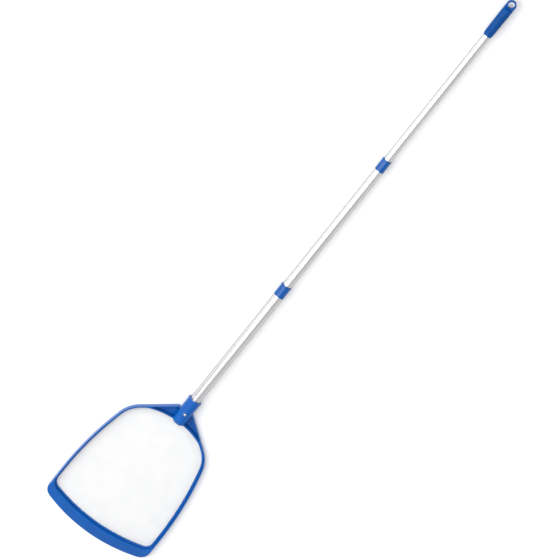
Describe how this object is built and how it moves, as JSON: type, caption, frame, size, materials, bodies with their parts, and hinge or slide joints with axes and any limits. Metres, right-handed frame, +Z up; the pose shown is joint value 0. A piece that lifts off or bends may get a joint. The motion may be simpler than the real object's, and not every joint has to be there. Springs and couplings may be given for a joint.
{
  "type": "leaf skimmer net",
  "caption": "Flat scoop with a fine net in a moulded rim, on a telescoping twist-lock pole with a hanging grip.",
  "frame": {"origin": "centre of the whole object's box in X and Y, at the height of the face that the rim rests on", "axes": "+Y along the pole from the scoop's lip to the hanging eye, +Z up out of the open side of the scoop, +X to the right; the scoop is symmetric about the YZ plane"},
  "size_m": [0.298, 1.71, 0.0362],
  "materials": {
    "scoop_plastic": "semi-gloss injection-moulded blue",
    "grip_plastic": "satin blue with a moulded gripping pattern",
    "collar_plastic": "semi-gloss injection-moulded blue",
    "tube_metal": "satin anodised, drawn along the tube",
    "net_mesh": "fine woven white nylon mesh",
    "button_metal": "polished",
    "spring_steel": "bright spring steel",
    "lock_plastic": "natural white nylon"
  },
  "bodies": {
    "scoop_and_lower_section": {"head_frame": "scoop_plastic", "net": "net_mesh", "net_clamp_ring": "scoop_plastic", "clip_spring": "spring_steel", "lower_tube": "tube_metal", "lower_collar": "collar_plastic"},
    "button": {"snap_button": "button_metal"},
    "middle_glide": {"middle_glide_ring": "lock_plastic"},
    "middle_section": {"middle_tube": "tube_metal", "middle_lock_spindle": "lock_plastic", "upper_collar": "collar_plastic"},
    "middle_cam": {"middle_lock_cam": "lock_plastic"},
    "upper_glide": {"upper_glide_ring": "lock_plastic"},
    "upper_section": {"upper_tube": "tube_metal", "upper_lock_spindle": "lock_plastic", "hand_grip": "grip_plastic"},
    "upper_cam": {"upper_lock_cam": "lock_plastic"}
  },
  "joints": [
    {"name": "button_press", "type": "slide", "parent": "scoop_and_lower_section", "child": "button", "axis": [0, 0, -1], "range_m": [0, 0.0058], "stiffness_N_per_m": 800, "springref_m": -0.004, "deforming": ["clip_spring"]},
    {"name": "middle_slide", "type": "slide", "parent": "scoop_and_lower_section", "child": "middle_glide", "axis": [0, 1, 0], "range_m": [-0.262, 0]},
    {"name": "middle_twist", "type": "hinge", "parent": "middle_glide", "child": "middle_section", "pos_m": [0, -0.1575, 0.018], "axis": [0, 1, 0], "range_deg": [0, 40]},
    {"name": "middle_cam_turn", "type": "hinge", "parent": "middle_section", "child": "middle_cam", "pos_m": [0.001, -0.1575, 0.018], "axis": [0, 1, 0], "range_deg": [-45, 1]},
    {"name": "upper_slide", "type": "slide", "parent": "middle_section", "child": "upper_glide", "axis": [0, 1, 0], "range_m": [-0.34, 0]},
    {"name": "upper_twist", "type": "hinge", "parent": "upper_glide", "child": "upper_section", "pos_m": [0, 0.244, 0.018], "axis": [0, 1, 0], "range_deg": [0, 40]},
    {"name": "upper_cam_turn", "type": "hinge", "parent": "upper_section", "child": "upper_cam", "pos_m": [0.0009, 0.244, 0.018], "axis": [0, 1, 0], "range_deg": [-45, 1]}
  ],
  "couplings": [
    {"joint": "middle_cam_turn", "follows": "middle_twist", "ratio": -1},
    {"joint": "upper_cam_turn", "follows": "upper_twist", "ratio": -1}
  ]
}
